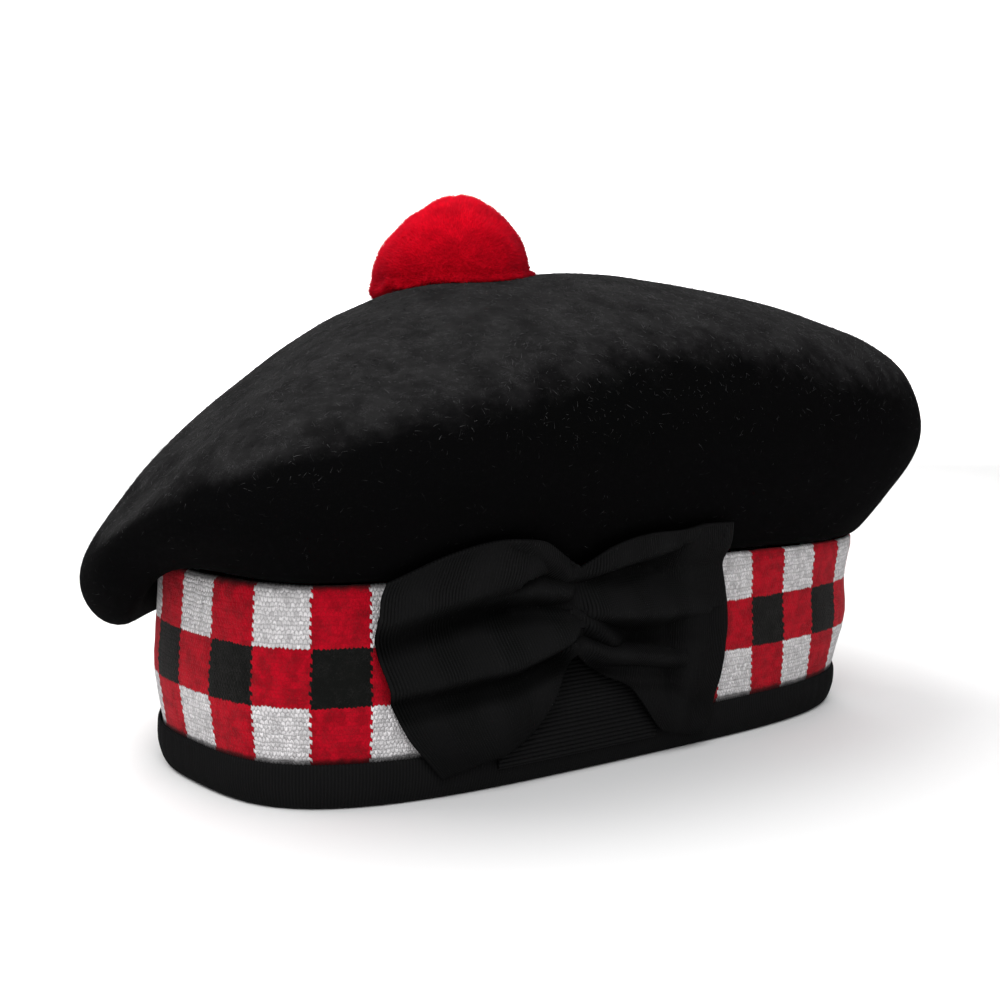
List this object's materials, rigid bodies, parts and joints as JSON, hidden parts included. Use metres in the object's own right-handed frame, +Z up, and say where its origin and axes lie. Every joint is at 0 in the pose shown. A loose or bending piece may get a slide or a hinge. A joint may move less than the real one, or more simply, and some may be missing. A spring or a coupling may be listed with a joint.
{
  "type": "balmoral bonnet",
  "caption": "Balmoral bonnet: round black felted crown over a red, white and black diced band, ribbed ribbon binding, gathered ribbon bow on one side and a red wool toorie on top.",
  "frame": {"origin": "middle of the bonnet's box in plan, on the surface that the binding rests on", "axes": "+Z up, the bonnet's front at -X, its back at +X, and the bow on the -Y side, which is the wearer's left"},
  "size_m": [0.265, 0.163, 0.1548],
  "materials": {
    "crown_felt": "black milled wool with a short fuzzy nap",
    "band_knit": "felted knit, diced in red, white and black",
    "ribbon_grosgrain": "black ribbed ribbon with a low sheen",
    "toorie_wool": "bright red clipped wool"
  },
  "bodies": {
    "root": {"crown": "crown_felt", "diced_band": "band_knit", "binding": "ribbon_grosgrain", "bow_tail": "ribbon_grosgrain", "bow": "ribbon_grosgrain", "toorie": "toorie_wool"}
  },
  "joints": []
}
